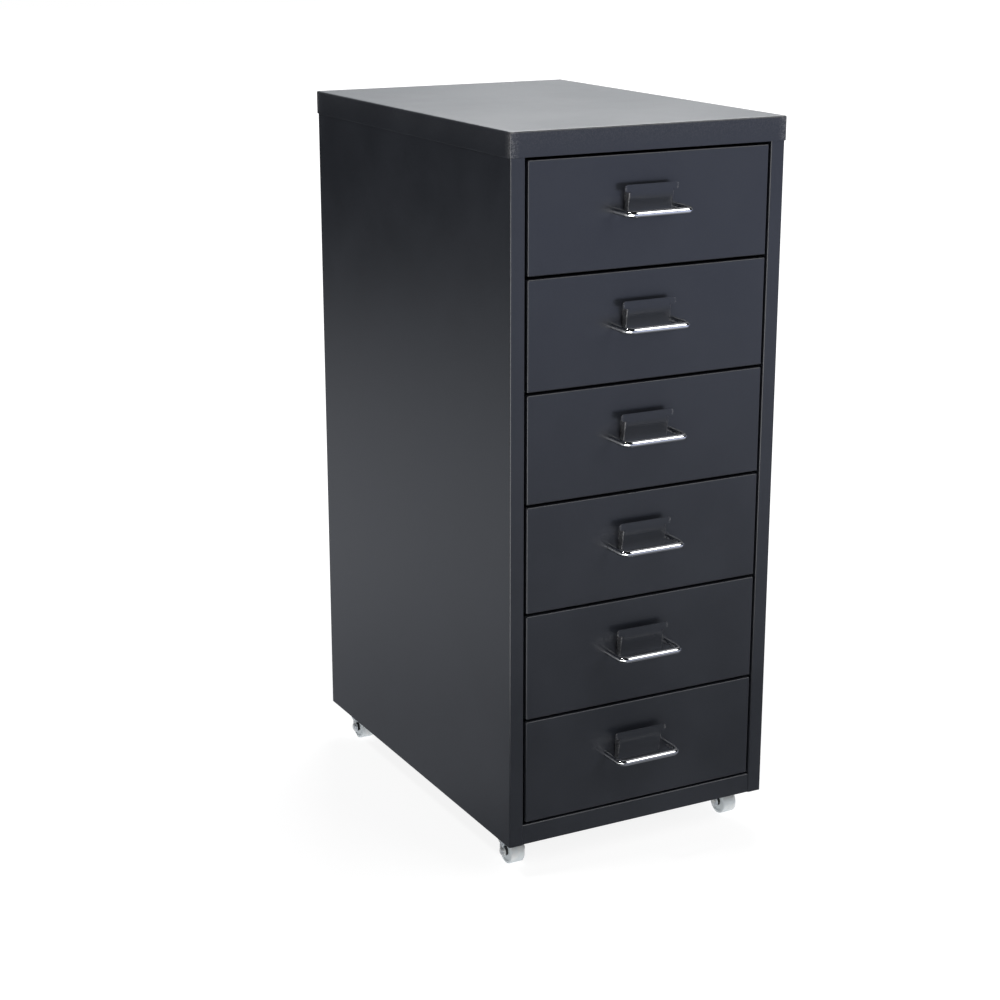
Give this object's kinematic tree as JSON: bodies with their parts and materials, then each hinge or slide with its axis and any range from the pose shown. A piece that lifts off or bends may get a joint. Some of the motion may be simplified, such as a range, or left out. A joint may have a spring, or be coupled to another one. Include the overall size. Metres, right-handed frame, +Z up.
{
  "type": "small metal drawer cabinet",
  "caption": "Narrow steel cabinet of equal shallow drawers with wire pulls and label holders, on swivel casters.",
  "frame": {"origin": "on the floor, at the middle of the whole cabinet with its pulls", "axes": "+Z up, +X to the right seen from the front, drawers open towards -Y"},
  "size_m": [0.28, 0.437, 0.685],
  "materials": {
    "painted_steel": "satin anthracite powder coat, fine texture",
    "chrome_wire": "bright chrome plate",
    "zinc_plate": "bright zinc plate",
    "wheel_plastic": "moulded light grey plastic"
  },
  "bodies": {
    "cabinet": {"top_cover": "painted_steel", "left_side_panel": "painted_steel", "right_side_panel": "painted_steel", "back_panel": "painted_steel", "back_rivets": "painted_steel", "base_pan": "painted_steel", "bottom_rail": "painted_steel", "top_rail": "painted_steel", "left_runners": "painted_steel", "right_runners": "painted_steel", "caster_nuts": "zinc_plate", "caster_fl_stem": "zinc_plate", "caster_fr_stem": "zinc_plate", "caster_bl_stem": "zinc_plate", "caster_br_stem": "zinc_plate"},
    "drawer_1": {"drawer_1_front": "painted_steel", "drawer_1_tray": "painted_steel", "drawer_1_label_holder": "painted_steel", "drawer_1_pull": "chrome_wire", "drawer_1_pull_screws": "zinc_plate"},
    "drawer_2": {"drawer_2_front": "painted_steel", "drawer_2_tray": "painted_steel", "drawer_2_label_holder": "painted_steel", "drawer_2_pull": "chrome_wire", "drawer_2_pull_screws": "zinc_plate"},
    "drawer_3": {"drawer_3_front": "painted_steel", "drawer_3_tray": "painted_steel", "drawer_3_label_holder": "painted_steel", "drawer_3_pull": "chrome_wire", "drawer_3_pull_screws": "zinc_plate"},
    "drawer_4": {"drawer_4_front": "painted_steel", "drawer_4_tray": "painted_steel", "drawer_4_label_holder": "painted_steel", "drawer_4_pull": "chrome_wire", "drawer_4_pull_screws": "zinc_plate"},
    "drawer_5": {"drawer_5_front": "painted_steel", "drawer_5_tray": "painted_steel", "drawer_5_label_holder": "painted_steel", "drawer_5_pull": "chrome_wire", "drawer_5_pull_screws": "zinc_plate"},
    "drawer_6": {"drawer_6_front": "painted_steel", "drawer_6_tray": "painted_steel", "drawer_6_label_holder": "painted_steel", "drawer_6_pull": "chrome_wire", "drawer_6_pull_screws": "zinc_plate"},
    "swivel_fl": {"caster_fl_fork": "zinc_plate", "caster_fl_axle": "zinc_plate"},
    "wheel_fl": {"caster_fl_wheel": "wheel_plastic"},
    "swivel_fr": {"caster_fr_fork": "zinc_plate", "caster_fr_axle": "zinc_plate"},
    "wheel_fr": {"caster_fr_wheel": "wheel_plastic"},
    "swivel_bl": {"caster_bl_fork": "zinc_plate", "caster_bl_axle": "zinc_plate"},
    "wheel_bl": {"caster_bl_wheel": "wheel_plastic"},
    "swivel_br": {"caster_br_fork": "zinc_plate", "caster_br_axle": "zinc_plate"},
    "wheel_br": {"caster_br_wheel": "wheel_plastic"}
  },
  "joints": [
    {"name": "drawer_1_slide", "type": "slide", "parent": "cabinet", "child": "drawer_1", "axis": [0, -1, 0], "range_m": [0, 0.29]},
    {"name": "drawer_2_slide", "type": "slide", "parent": "cabinet", "child": "drawer_2", "axis": [0, -1, 0], "range_m": [0, 0.29]},
    {"name": "drawer_3_slide", "type": "slide", "parent": "cabinet", "child": "drawer_3", "axis": [0, -1, 0], "range_m": [0, 0.29]},
    {"name": "drawer_4_slide", "type": "slide", "parent": "cabinet", "child": "drawer_4", "axis": [0, -1, 0], "range_m": [0, 0.29]},
    {"name": "drawer_5_slide", "type": "slide", "parent": "cabinet", "child": "drawer_5", "axis": [0, -1, 0], "range_m": [0, 0.29]},
    {"name": "drawer_6_slide", "type": "slide", "parent": "cabinet", "child": "drawer_6", "axis": [0, -1, 0], "range_m": [0, 0.29]},
    {"name": "caster_fl_swivel", "type": "hinge", "parent": "cabinet", "child": "swivel_fl", "pos_m": [-0.11855, -0.15052, 0.02698], "axis": [0, 0, 1], "continuous": true},
    {"name": "caster_fl_roll", "type": "hinge", "parent": "swivel_fl", "child": "wheel_fl", "pos_m": [-0.11855, -0.15752, 0.0125], "axis": [1, 0, 0], "continuous": true},
    {"name": "caster_fr_swivel", "type": "hinge", "parent": "cabinet", "child": "swivel_fr", "pos_m": [0.11855, -0.15052, 0.02698], "axis": [0, 0, 1], "continuous": true},
    {"name": "caster_fr_roll", "type": "hinge", "parent": "swivel_fr", "child": "wheel_fr", "pos_m": [0.11855, -0.15752, 0.0125], "axis": [1, 0, 0], "continuous": true},
    {"name": "caster_bl_swivel", "type": "hinge", "parent": "cabinet", "child": "swivel_bl", "pos_m": [-0.11855, 0.18857, 0.02698], "axis": [0, 0, 1], "continuous": true},
    {"name": "caster_bl_roll", "type": "hinge", "parent": "swivel_bl", "child": "wheel_bl", "pos_m": [-0.11855, 0.18157, 0.0125], "axis": [1, 0, 0], "continuous": true},
    {"name": "caster_br_swivel", "type": "hinge", "parent": "cabinet", "child": "swivel_br", "pos_m": [0.11855, 0.18857, 0.02698], "axis": [0, 0, 1], "continuous": true},
    {"name": "caster_br_roll", "type": "hinge", "parent": "swivel_br", "child": "wheel_br", "pos_m": [0.11855, 0.18157, 0.0125], "axis": [1, 0, 0], "continuous": true}
  ]
}
